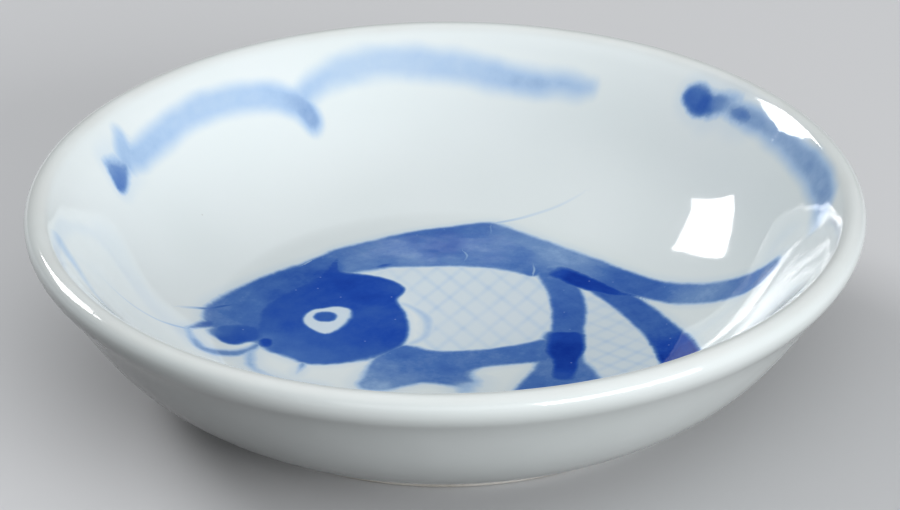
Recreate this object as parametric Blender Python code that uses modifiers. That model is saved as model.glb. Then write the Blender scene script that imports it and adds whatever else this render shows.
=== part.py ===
"""Butter pat dish: a small round porcelain dish on a turned foot ring.

The dish is one fired piece of ware in three layers. A porcelain body carries everything. A clear glaze
coats it from the foot, up the outside, over the lip and across the well. A second patch of glaze lies
inside the foot ring. The bare edge of the foot ring divides the two.

Every layer is turned about +Z. The origin is the centre of the plane that the foot stands on.
"""

import math

import bpy

MM = 0.001
DEGREE = math.pi / 180

# Overall size of the finished, glazed dish
RIM_DIAMETER = 92.0 * MM
HEIGHT = 20.7 * MM

# Foot ring and the shallow recess inside it
FOOT_DIAMETER = 56.4 * MM
FOOT_HEIGHT = 1.0 * MM
FOOT_WIDTH = 3.4 * MM
FOOT_EDGE = 0.2 * MM
BARE_FOOT = 0.3 * MM
RECESS_DEPTH = 1.4 * MM
RECESS_FILLET = 0.6 * MM

# Well and wall
BASE_THICKNESS = 2.7 * MM
HEEL_THICKNESS = 4.6 * MM
WALL_THICKNESS = 3.4 * MM
WALL_SWELL = 0.3 * MM
WALL_SLOPE_AT_FOOT = 23.0 * DEGREE
WALL_SLOPE_AT_LIP = 55.0 * DEGREE
WALL_REACH_AT_FOOT = 11.2 * MM
WALL_REACH_AT_LIP = 7.3 * MM
WELL_REACH = 12.0 * MM
HEEL_REACH = 3.0 * MM

# Rolled lip
LIP_THICKNESS = 3.0 * MM
LIP_HEIGHT = 4.5 * MM
LIP_OVERHANG = 1.75 * MM
LIP_SLOPE_INSIDE = 43.0 * DEGREE
LIP_SLOPE_UNDER = 47.0 * DEGREE
LIP_REACH_INSIDE = 1.5 * MM
LIP_REACH_UNDER = 1.2 * MM

# Layers
GLAZE_THICKNESS = 0.3 * MM
BOND_GAP = 0.3 * MM

# Facets of the turned solids
SECTORS = 60
WALL_FACETS = 6
WELL_FACETS = 4
LIP_FACETS = 2
CREST_FACETS = 3
FILLET_FACETS = 2

# Colour and roughness of each layer
FINISHES = {
    "porcelain_body": ((0.80, 0.77, 0.71), 0.75),
    "glaze_coat": ((0.80, 0.83, 0.83), 0.08),
    "base_glaze": ((0.78, 0.82, 0.81), 0.12),
}

OUTWARD = (1.0, 0.0)
DOWN = (0.0, -1.0)

AXIS_MERGE = 1e-6

RIM_RADIUS = RIM_DIAMETER / 2
FOOT_RADIUS = FOOT_DIAMETER / 2
RECESS_RADIUS = FOOT_RADIUS - FOOT_WIDTH
CREST_RADIUS = LIP_THICKNESS / 2
GLAZE_EDGE = BARE_FOOT + BOND_GAP
BODY_INSET = GLAZE_THICKNESS + BOND_GAP


def heading(slope):
    """The unit step (r, z) up a line that rises at this slope."""
    return math.cos(slope), math.sin(slope)


def moved(point, step, distance):
    return point[0] + step[0] * distance, point[1] + step[1] * distance


def bezier(start, start_handle, end_handle, end, facets):
    """Points of a cubic curve, both ends included."""
    points = []
    for i in range(facets + 1):
        t = i / facets
        s = 1 - t
        weights = (s**3, 3 * s * s * t, 3 * s * t * t, t**3)
        controls = (start, start_handle, end_handle, end)
        r = sum(w * c[0] for w, c in zip(weights, controls))
        z = sum(w * c[1] for w, c in zip(weights, controls))
        points.append((r, z))
    return points


def arc(centre, radius, start_angle, end_angle, facets):
    """Points of a circular arc, both ends included."""
    points = []
    for i in range(facets + 1):
        angle = start_angle + (end_angle - start_angle) * i / facets
        points.append(moved(centre, heading(angle), radius))
    return points


def joined(*stretches):
    """One path from stretches that share their end points."""
    path = list(stretches[0])
    for stretch in stretches[1:]:
        path += stretch[1:]
    return path


def slope_between(a, b):
    """The slope of the line from a to b."""
    return math.atan2(b[1] - a[1], b[0] - a[0])


def unit_normal(a, b):
    """The normal on the right of the step from a to b."""
    r, z = b[0] - a[0], b[1] - a[1]
    length = math.hypot(r, z)
    return z / length, -r / length


def inset(path, distance):
    """The path moved to its right by the distance, with mitred corners. An end on the axis stays on it."""
    points = []
    for i, point in enumerate(path):
        before = unit_normal(path[max(i - 1, 0)], path[max(i, 1)])
        after = unit_normal(path[min(i, len(path) - 2)], path[min(i + 1, len(path) - 1)])
        r, z = before[0] + after[0], before[1] + after[1]
        scale = 2 * distance / (r * r + z * z)
        points.append((point[0] + r * scale, point[1] + z * scale))
    return [(0.0, z) if old[0] == 0 else (r, z) for old, (r, z) in zip(path, points)]


def outer_wall():
    """Outside of the wall, from its junction with the foot ring up to the groove under the lip."""
    junction = (FOOT_RADIUS, FOOT_HEIGHT)
    groove = (RIM_RADIUS - LIP_OVERHANG, HEIGHT - LIP_HEIGHT)
    foot_handle = moved(junction, heading(WALL_SLOPE_AT_FOOT), WALL_REACH_AT_FOOT)
    lip_handle = moved(groove, heading(WALL_SLOPE_AT_LIP), -WALL_REACH_AT_LIP)
    return bezier(junction, foot_handle, lip_handle, groove, WALL_FACETS)


def inner_wall(outside):
    """Inside of the wall: the outside moved in by a thickness that tapers to the lip and swells halfway."""
    slopes = [WALL_SLOPE_AT_FOOT]
    for below, above in zip(outside, outside[2:]):
        slopes.append(slope_between(below, above))
    slopes.append(WALL_SLOPE_AT_LIP)
    points = []
    for i, (point, slope) in enumerate(zip(outside, slopes)):
        share = i / (len(outside) - 1)
        taper = HEEL_THICKNESS + (WALL_THICKNESS - HEEL_THICKNESS) * share
        thickness = taper + WALL_SWELL * 4 * share * (1 - share)
        inward = (-math.sin(slope), math.cos(slope))
        points.append(moved(point, inward, thickness))
    return points


def well_floor(heel, heel_next):
    """The well, level at the axis and rising into the heel of the inner wall."""
    centre = (0.0, RECESS_DEPTH + BASE_THICKNESS)
    slope = slope_between(heel, heel_next)
    centre_handle = moved(centre, OUTWARD, WELL_REACH)
    heel_handle = moved(heel, heading(slope), -HEEL_REACH)
    return bezier(centre, centre_handle, heel_handle, heel, WELL_FACETS)


def lip(inner_below, inner_top, groove):
    """The rolled lip, from the top of the inner wall, over the crest and down to the groove."""
    centre = (RIM_RADIUS - CREST_RADIUS, HEIGHT - CREST_RADIUS)
    top = math.pi / 2
    crest = joined(
        arc(centre, CREST_RADIUS, top + LIP_SLOPE_INSIDE, top, CREST_FACETS),
        arc(centre, CREST_RADIUS, top, 0.0, CREST_FACETS),
    )
    inside, outside = crest[0], crest[-1]
    rise = moved(inner_top, heading(slope_between(inner_below, inner_top)), LIP_REACH_INSIDE)
    shoulder = moved(inside, heading(LIP_SLOPE_INSIDE), -LIP_REACH_INSIDE)
    drop = moved(outside, DOWN, LIP_REACH_UNDER)
    under = moved(groove, heading(LIP_SLOPE_UNDER), LIP_REACH_UNDER)
    return joined(
        bezier(inner_top, rise, shoulder, inside, LIP_FACETS),
        crest,
        bezier(outside, drop, under, groove, LIP_FACETS),
    )


def upper_surface():
    """Glazed surface from the middle of the well, over the lip and down to the glaze line on the foot."""
    outside = outer_wall()
    inside = inner_wall(outside)
    foot_side = [outside[0], (FOOT_RADIUS, GLAZE_EDGE)]
    return joined(
        well_floor(inside[0], inside[1]),
        inside,
        lip(inside[-2], inside[-1], outside[-1]),
        outside[::-1],
        foot_side,
    )


def under_surface():
    """Glazed surface inside the foot ring, from the glaze line up its side and in to the axis."""
    corner = (RECESS_RADIUS - RECESS_FILLET, RECESS_DEPTH - RECESS_FILLET)
    fillet = arc(corner, RECESS_FILLET, 0.0, math.pi / 2, FILLET_FACETS)
    return [(RECESS_RADIUS, GLAZE_EDGE)] + fillet + [(0.0, RECESS_DEPTH)]


def bare_foot():
    """The unglazed foot: a shoulder below each glaze line, and the flat face that the dish stands on."""
    outer = FOOT_RADIUS - GLAZE_THICKNESS
    inner = RECESS_RADIUS + GLAZE_THICKNESS
    return [
        (outer - BOND_GAP, BARE_FOOT),
        (outer, BARE_FOOT),
        (outer, FOOT_EDGE),
        (outer - FOOT_EDGE, 0.0),
        (inner + FOOT_EDGE, 0.0),
        (inner, FOOT_EDGE),
        (inner, BARE_FOOT),
        (inner + BOND_GAP, BARE_FOOT),
    ]


def finish(name, colour, roughness):
    """A plain non-metallic material."""
    material = bpy.data.materials.new(name)
    material.use_nodes = True
    shader = material.node_tree.nodes["Principled BSDF"]
    shader.inputs["Base Color"].default_value = (*colour, 1.0)
    shader.inputs["Roughness"].default_value = roughness
    shader.inputs["Metallic"].default_value = 0.0
    return material


def turned(name, section, material, collection, parent):
    """A solid turned about Z. The section runs from the axis, out and down its outer side, and back."""
    mesh = bpy.data.meshes.new(name)
    edges = [(i, i + 1) for i in range(len(section) - 1)]
    mesh.from_pydata([(r, 0.0, z) for r, z in section], edges, [])
    mesh.materials.append(material)
    obj = bpy.data.objects.new(name, mesh)
    collection.objects.link(obj)
    obj.parent = parent
    screw = obj.modifiers.new("Turn", "SCREW")
    screw.axis = "Z"
    screw.angle = 2 * math.pi
    screw.steps = SECTORS
    screw.render_steps = SECTORS
    screw.use_merge_vertices = True
    screw.merge_threshold = AXIS_MERGE
    screw.use_smooth_shade = True


def clear_scene():
    for obj in list(bpy.data.objects):
        bpy.data.objects.remove(obj)


def main():
    clear_scene()
    collection = bpy.data.collections.new("butter_pat_dish")
    bpy.context.scene.collection.children.link(collection)
    axis = bpy.data.objects.new("dish_axis", None)
    collection.objects.link(axis)

    upper = upper_surface()
    under = under_surface()
    sections = {
        "porcelain_body": inset(upper, BODY_INSET) + bare_foot() + inset(under, BODY_INSET),
        "glaze_coat": upper + inset(upper, GLAZE_THICKNESS)[::-1],
        "base_glaze": inset(under, GLAZE_THICKNESS)[::-1] + under,
    }
    for name, section in sections.items():
        turned(name, section, finish(name, *FINISHES[name]), collection, axis)


main()
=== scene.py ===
"""Looks of the butter pat dish: glaze, cobalt brushwork, bare foot, studio light and camera.

Sections and brush marks are in millimetres. A section is a list of (radius, height). Brush marks lie on the
dish's plan, seen from above, with +X to the right and +Y away from the viewer.
"""

import math

import bpy
import numpy as np
from mathutils import Matrix, Quaternion, Vector


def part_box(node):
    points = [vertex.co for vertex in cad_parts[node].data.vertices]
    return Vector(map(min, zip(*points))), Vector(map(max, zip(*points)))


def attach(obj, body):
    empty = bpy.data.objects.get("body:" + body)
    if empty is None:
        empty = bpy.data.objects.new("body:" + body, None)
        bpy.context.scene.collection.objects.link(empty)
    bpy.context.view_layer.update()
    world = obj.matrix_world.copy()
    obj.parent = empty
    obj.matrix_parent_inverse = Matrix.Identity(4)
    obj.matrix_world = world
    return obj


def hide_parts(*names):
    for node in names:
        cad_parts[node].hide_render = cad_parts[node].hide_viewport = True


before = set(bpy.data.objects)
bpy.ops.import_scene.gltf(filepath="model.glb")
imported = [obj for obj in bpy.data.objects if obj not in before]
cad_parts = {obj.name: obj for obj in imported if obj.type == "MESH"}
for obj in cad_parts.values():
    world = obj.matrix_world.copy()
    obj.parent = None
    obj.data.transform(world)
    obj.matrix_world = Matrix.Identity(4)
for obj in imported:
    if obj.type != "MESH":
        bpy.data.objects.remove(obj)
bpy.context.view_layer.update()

MM = 0.001
DEGREE = math.pi / 180

# Sizes that the frame gives
COAT_LOW, COAT_HIGH = (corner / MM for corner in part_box("glaze_coat"))
BASE_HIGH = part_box("base_glaze")[1] / MM
RIM_RADIUS = COAT_HIGH.x
HEIGHT = COAT_HIGH.z
GLAZE_EDGE = COAT_LOW.z
RECESS_RADIUS = BASE_HIGH.x

# Sizes of the section that no node's box shows
GLAZE_THICKNESS = 0.3
RECESS_DEPTH = BASE_HIGH.z - GLAZE_THICKNESS
RECESS_FILLET = 0.6
BASE_THICKNESS = 2.7
FOOT_RADIUS = 28.2
FOOT_HEIGHT = 1.0
FOOT_ROUND = 0.2
HEEL_THICKNESS = 4.6
WALL_THICKNESS = 3.4
WALL_SWELL = 0.3
WALL_SLOPE_AT_FOOT = 23.0 * DEGREE
WALL_SLOPE_AT_LIP = 55.0 * DEGREE
WALL_REACH_AT_FOOT = 11.2
WALL_REACH_AT_LIP = 7.3
WELL_REACH = 12.0
HEEL_REACH = 3.0
LIP_HEIGHT = 4.5
LIP_OVERHANG = 1.75
LIP_SLOPE_INSIDE = 43.0 * DEGREE
LIP_SLOPE_UNDER = 47.0 * DEGREE
LIP_REACH_INSIDE = 1.5
LIP_REACH_UNDER = 1.2
CREST_RADIUS = 1.5
CREST_CENTRE = (RIM_RADIUS - CREST_RADIUS, HEIGHT - CREST_RADIUS)

# Softened corners of the glazed surface, as lengths along the section
GROOVE_EASE = 1.1
FOOT_POOL = 0.2
EASE_FACETS = 6

# The body tucks this far under the glaze
TUCK = 0.02

# Facets round the dish, and along the stretches of the section on its seen and hidden sides
SECTORS = 384
FINE = {"well": 74, "wall": 60, "lip": 14, "crest": 10, "under": 10, "outside": 20, "edge": 6}
COARSE = {"well": 6, "wall": 8, "lip": 3, "crest": 4, "under": 4, "outside": 8, "edge": 2}

# Places in the square of the bake map: centre and radius of the discs, low corner and size of the strip
BAKE_WELL = np.array((0.37, 0.63))
BAKE_WELL_RADIUS = 0.355
BAKE_STRIP = np.array((0.01, 0.02))
BAKE_STRIP_SIZE = np.array((0.98, 0.23))
BAKE_HIDDEN = np.array((0.87, 0.80))
BAKE_HIDDEN_RADIUS = 0.11

# A brush mark has no effect on a point beyond this distance, in units of the mark's softness
FAR = 4.0

# Fine lines are followed out to this distance past their edges, which spans one face of the mesh
LINE_MARGIN = 0.6


def heading(slope):
    """The unit step (r, z) up a line that rises at this slope."""
    return np.array((math.cos(slope), math.sin(slope)))


TOP = math.pi / 2
OUTWARD = heading(0.0)
DOWN = -heading(TOP)


def cubic(start, start_handle, end_handle, end, facets):
    """Points of a cubic curve, both ends included."""
    t = np.linspace(0, 1, facets + 1)[:, None]
    s = 1 - t
    return s**3 * start + 3 * s * s * t * start_handle + 3 * s * t * t * end_handle + t**3 * end


def arc(centre, radius, start_angle, end_angle, facets):
    """Points of a circular arc, both ends included."""
    angle = np.linspace(start_angle, end_angle, facets + 1)
    return np.asarray(centre) + radius * np.stack((np.cos(angle), np.sin(angle)), axis=1)


def joined(*stretches):
    """One path from stretches that share their end points."""
    return np.concatenate([stretches[0]] + [stretch[1:] for stretch in stretches[1:]])


def eased(before, after, reach):
    """Two stretches that meet in a corner, with the corner rounded off over the reach."""
    corner = before[-1]
    before = before[np.linalg.norm(before - corner, axis=1) > reach]
    after = after[np.linalg.norm(after - corner, axis=1) > reach]
    t = np.linspace(0, 1, EASE_FACETS + 1)[1:-1, None]
    bend = (1 - t) ** 2 * before[-1] + 2 * t * (1 - t) * corner + t * t * after[0]
    return np.concatenate((before, bend, after))


def inset(path, distance):
    """The path moved to its right by the distance, with mitred corners. An end on the axis stays on it."""
    step = np.diff(path, axis=0)
    normal = np.stack((step[:, 1], -step[:, 0]), axis=1) / np.linalg.norm(step, axis=1)[:, None]
    mitre = np.concatenate((normal[:1] * 2, normal[:-1] + normal[1:], normal[-1:] * 2))
    moved = path + mitre * (2 * distance / (mitre**2).sum(axis=1))[:, None]
    moved[path[:, 0] == 0, 0] = 0
    return moved


def direction(a, b):
    """The unit step from a to b."""
    return (b - a) / np.linalg.norm(b - a)


def outer_wall(facets):
    junction = np.array((FOOT_RADIUS, FOOT_HEIGHT))
    groove = np.array((RIM_RADIUS - LIP_OVERHANG, HEIGHT - LIP_HEIGHT))
    foot_handle = junction + heading(WALL_SLOPE_AT_FOOT) * WALL_REACH_AT_FOOT
    lip_handle = groove - heading(WALL_SLOPE_AT_LIP) * WALL_REACH_AT_LIP
    return cubic(junction, foot_handle, lip_handle, groove, facets)


def inner_wall(facets):
    """The outside of the wall moved in by a thickness that tapers to the lip and swells halfway."""
    outside = outer_wall(facets)
    slope = np.arctan2(*np.gradient(outside, axis=0).T[::-1])
    share = np.linspace(0, 1, facets + 1)
    taper = HEEL_THICKNESS + (WALL_THICKNESS - HEEL_THICKNESS) * share
    thickness = taper + WALL_SWELL * 4 * share * (1 - share)
    return outside + np.stack((-np.sin(slope), np.cos(slope)), axis=1) * thickness[:, None]


def well_floor(wall, facets):
    centre = np.array((0.0, RECESS_DEPTH + BASE_THICKNESS))
    heel_handle = wall[0] - direction(wall[0], wall[1]) * HEEL_REACH
    return cubic(centre, centre + OUTWARD * WELL_REACH, heel_handle, wall[0], facets)


def inside_path(facets):
    """Glazed surface from the middle of the well to the top of the lip."""
    wall = inner_wall(facets["wall"])
    crest = arc(CREST_CENTRE, CREST_RADIUS, TOP + LIP_SLOPE_INSIDE, TOP, facets["crest"])
    rise = wall[-1] + direction(wall[-2], wall[-1]) * LIP_REACH_INSIDE
    shoulder = crest[0] - heading(LIP_SLOPE_INSIDE) * LIP_REACH_INSIDE
    lip = cubic(wall[-1], rise, shoulder, crest[0], facets["lip"])
    return joined(well_floor(wall, facets["well"]), wall, lip, crest)


def outside_path(facets):
    """Glazed surface from the top of the lip, down the wall and foot, to the rounded edge of the glaze."""
    crest = arc(CREST_CENTRE, CREST_RADIUS, TOP, 0.0, facets["crest"])
    wall = outer_wall(facets["outside"])[::-1]
    under = wall[0] + heading(LIP_SLOPE_UNDER) * LIP_REACH_UNDER
    drop = crest[-1] + DOWN * LIP_REACH_UNDER
    lip = cubic(crest[-1], drop, under, wall[0], facets["under"])
    edge_radius = GLAZE_THICKNESS / 2
    edge_centre = (FOOT_RADIUS - edge_radius, GLAZE_EDGE + edge_radius)
    edge = arc(edge_centre, edge_radius, 0.0, -math.pi / 2, facets["edge"])
    foot = joined(np.linspace(wall[-1], edge[0], 5), edge)
    return joined(crest, eased(eased(lip, wall, GROOVE_EASE), foot, FOOT_POOL))


def under_path():
    """Glazed surface inside the foot ring, from the glaze line up its side and in to the axis."""
    corner = (RECESS_RADIUS - RECESS_FILLET, RECESS_DEPTH - RECESS_FILLET)
    fillet = arc(corner, RECESS_FILLET, 0.0, math.pi / 2, FINE["edge"])
    ceiling = np.linspace(fillet[-1], (0.0, RECESS_DEPTH), FINE["outside"] + 1)
    return joined(np.array(((RECESS_RADIUS, GLAZE_EDGE), fillet[0])), fillet, ceiling)


def bare_foot_path():
    """The unglazed foot, from behind the outer glaze edge, under the foot and up behind the inner one."""
    outer = FOOT_RADIUS - GLAZE_THICKNESS
    inner = RECESS_RADIUS + GLAZE_THICKNESS
    left = arc((outer - FOOT_ROUND, FOOT_ROUND), FOOT_ROUND, 0.0, -math.pi / 2, FINE["edge"])
    right = arc((inner + FOOT_ROUND, FOOT_ROUND), FOOT_ROUND, -math.pi / 2, -math.pi, FINE["edge"])
    return np.concatenate(([(outer, GLAZE_EDGE)], left, right, [(inner, GLAZE_EDGE)]))


def turned_mesh(name, section):
    """A closed mesh turned about Z. The section runs from the axis, down its outer side, and back."""
    rings = section[1:-1] * MM
    angle = np.arange(SECTORS) * (2 * math.pi / SECTORS)
    shape = (len(rings), SECTORS)
    x = rings[:, :1] * np.cos(angle)
    y = rings[:, :1] * np.sin(angle)
    z = np.broadcast_to(rings[:, 1:], shape)
    top, bottom = section[[0, -1], 1] * MM
    turned = np.stack((x, y, z), axis=2).reshape(-1, 3)
    points = np.concatenate(([(0, 0, top)], turned, [(0, 0, bottom)]))

    index = 1 + np.arange(shape[0] * SECTORS).reshape(shape)
    turn = np.roll(index, -1, axis=1)
    quads = np.stack((index[:-1], index[1:], turn[1:], turn[:-1]), axis=2).reshape(-1, 4)
    top_fan = np.stack((np.zeros(SECTORS, int), index[0], turn[0]), axis=1)
    bottom_fan = np.stack((index[-1], np.full(SECTORS, len(points) - 1), turn[-1]), axis=1)

    mesh = bpy.data.meshes.new(name)
    mesh.from_pydata(points.tolist(), [], quads.tolist() + top_fan.tolist() + bottom_fan.tolist())
    mesh.shade_smooth()
    return mesh


def bake_map(mesh, section, crest_row, edge_row):
    """A UV map for baked pictures.

    The inside is a large disc, the outside a strip and the hidden side a small disc. The rows are those
    points of the section where the inside and the outside end.
    """
    vertex = np.empty(len(mesh.loops), np.int32)
    first = np.empty(len(mesh.polygons), np.int32)
    mesh.loops.foreach_get("vertex_index", vertex)
    mesh.polygons.foreach_get("loop_start", first)
    corners = np.diff(np.append(first, len(vertex)))
    row = 1 + (vertex - 1) // SECTORS
    sector = (vertex - 1) % SECTORS
    face_row = np.repeat(np.maximum.reduceat(row, first), corners)[:, None]
    spread = np.repeat(np.maximum.reduceat(sector, first) - np.minimum.reduceat(sector, first), corners)
    turn = np.where((spread > 1) & (sector == 0), 1.0, sector / SECTORS)

    steps = np.linalg.norm(np.diff(section, axis=0), axis=1)
    travelled = np.concatenate(([0.0], np.cumsum(steps)))
    along = travelled[row]
    crest, edge, end = travelled[crest_row], travelled[edge_row], travelled[-1]
    compass = np.stack((np.cos(2 * math.pi * turn), np.sin(2 * math.pi * turn)), axis=1)
    well = BAKE_WELL + BAKE_WELL_RADIUS * compass * (along / crest)[:, None]
    strip = BAKE_STRIP + BAKE_STRIP_SIZE * np.stack((turn, (along - crest) / (edge - crest)), axis=1)
    hidden = BAKE_HIDDEN + BAKE_HIDDEN_RADIUS * compass * ((end - along) / (end - edge))[:, None]
    places = np.where(face_row <= crest_row, well, np.where(face_row <= edge_row, strip, hidden))
    mesh.uv_layers.new(name="OFBake").data.foreach_set("uv", places.ravel())


def added(name, data):
    """A new object of the data, in the scene."""
    item = bpy.data.objects.new(name, data)
    bpy.context.scene.collection.objects.link(item)
    return item


def placed(mesh, material, node):
    """The mesh as a piece with this material, in place of a CAD node, which it hides."""
    mesh.materials.append(material)
    piece = added(mesh.name, mesh)
    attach(piece, "root")
    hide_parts(node)


# Brushwork


def smooth_line(points, closed=False, steps=8):
    """Points along a smooth curve through the given rows. Every column is carried along."""
    rows = np.asarray(points, float)
    if closed:
        rows = np.concatenate((rows[-1:], rows, rows[:2]))
    else:
        rows = np.concatenate((2 * rows[:1] - rows[1:2], rows, 2 * rows[-1:] - rows[-2:-1]))
    t = np.linspace(0, 1, steps, endpoint=False)[:, None]
    spans = []
    for a, b, c, d in zip(rows, rows[1:], rows[2:], rows[3:]):
        curve = b + t * (c - a) / 2 + t**2 * (a - 2.5 * b + 2 * c - d / 2)
        spans.append(curve + t**3 * (1.5 * (b - c) + (d - a) / 2))
    last = rows[1:2] if closed else rows[-2:-1]
    return np.concatenate(spans + [last])


def nearest_on(line, plan):
    """For each plan point: its distance to the line, the line's other columns there, and its side."""
    best = np.full(len(plan), np.inf)
    values = np.zeros((len(plan), line.shape[1] - 2))
    side = np.ones(len(plan))
    for a, b in zip(line, line[1:]):
        run = b[:2] - a[:2]
        offset = plan - a[:2]
        t = np.clip(offset @ run / max(run @ run, 1e-9), 0, 1)
        distance = np.linalg.norm(offset - t[:, None] * run, axis=1)
        closer = distance < best
        best[closer] = distance[closer]
        values[closer] = a[2:] + t[closer, None] * (b[2:] - a[2:])
        side[closer] = np.sign(run[0] * offset[closer, 1] - run[1] * offset[closer, 0])
    return best, values, side


def inside(outline, plan):
    """Which plan points lie inside a closed outline."""
    found = np.zeros(len(plan), bool)
    x, y = plan.T
    for (ax, ay), (bx, by) in zip(outline, outline[1:]):
        if ay == by:
            continue
        crosses = (ay > y) != (by > y)
        found ^= crosses & (x < ax + (y - ay) * (bx - ax) / (by - ay))
    return found


class Coat:
    """One coat of colour on the well: how far each point lies outside the marks, and the ink there.

    The distance is counted in units of each mark's own softness: a mark fades out over about one unit on
    either side of its outline. Where marks overlap, their inks blend.
    """

    def __init__(self, name, plan):
        self.name = name
        self.plan = plan
        self.edge = np.full(len(plan), FAR)
        self.weight = np.full(len(plan), 1e-9)
        self.ink = np.zeros(len(plan))

    def near(self, points, margin):
        """The plan points close enough to be reached by a mark."""
        rows = np.asarray(points)[:, :2]
        low, high = rows.min(axis=0) - margin, rows.max(axis=0) + margin
        return np.flatnonzero(((self.plan > low) & (self.plan < high)).all(axis=1))

    def lay(self, where, edge, ink):
        edge = np.clip(edge, -FAR, FAR)
        weight = np.exp(-2 * edge)
        self.edge[where] = np.minimum(self.edge[where], edge)
        self.weight[where] += weight
        self.ink[where] += weight * ink

    def stroke(self, *points, soft=0.5):
        """A brush stroke through points of (x, y, width, ink)."""
        where = self.near(points, FAR * soft + max(p[2] for p in points))
        distance, values, _ = nearest_on(smooth_line(points), self.plan[where])
        self.lay(where, (distance - values[:, 0] / 2) / soft, values[:, 1])

    def patch(self, outline, tones, soft=0.5):
        """A filled shape with a smooth outline through points of (x, y), or (x, y, own softness).

        Its ink blends between tones of (x, y, ink).
        """
        outline = [(*point, soft)[:3] for point in outline]
        where = self.near(outline, FAR * max(p[2] for p in outline))
        plan = self.plan[where]
        line = smooth_line(outline, closed=True)
        distance, values, _ = nearest_on(line, plan)
        edge = np.where(inside(line[:, :2], plan), -distance, distance) / values[:, 0]
        rows = np.asarray(tones)
        reach = ((plan[:, None] - rows[None, :, :2]) ** 2).sum(axis=2) + 0.3
        pull = reach**-1.5
        self.lay(where, edge, (rows[:, 2] * pull).sum(axis=1) / pull.sum(axis=1))

    def attributes(self):
        return {self.name + "_edge": self.edge, self.name + "_ink": self.ink / self.weight}


class Lines(Coat):
    """Fine brush lines, kept as the signed offset across each line in half widths, and the ink on it."""

    def __init__(self, name, plan):
        super().__init__(name, plan)
        self.offset = np.full(len(plan), FAR)

    def line(self, *points):
        """A fine line through points of (x, y, width, ink)."""
        where = self.near(points, FAR)
        distance, values, side = nearest_on(smooth_line(points), self.plan[where])
        half = values[:, 0] / 2
        inked = np.where(distance < 2 * half + LINE_MARGIN, values[:, 1], 0.0)
        closer = distance < self.edge[where]
        at = where[closer]
        self.edge[at] = distance[closer]
        self.offset[at] = (distance * side / half)[closer]
        self.ink[at] = inked[closer]

    def attributes(self):
        return {self.name + "_offset": self.offset, self.name + "_ink": self.ink}


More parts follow.
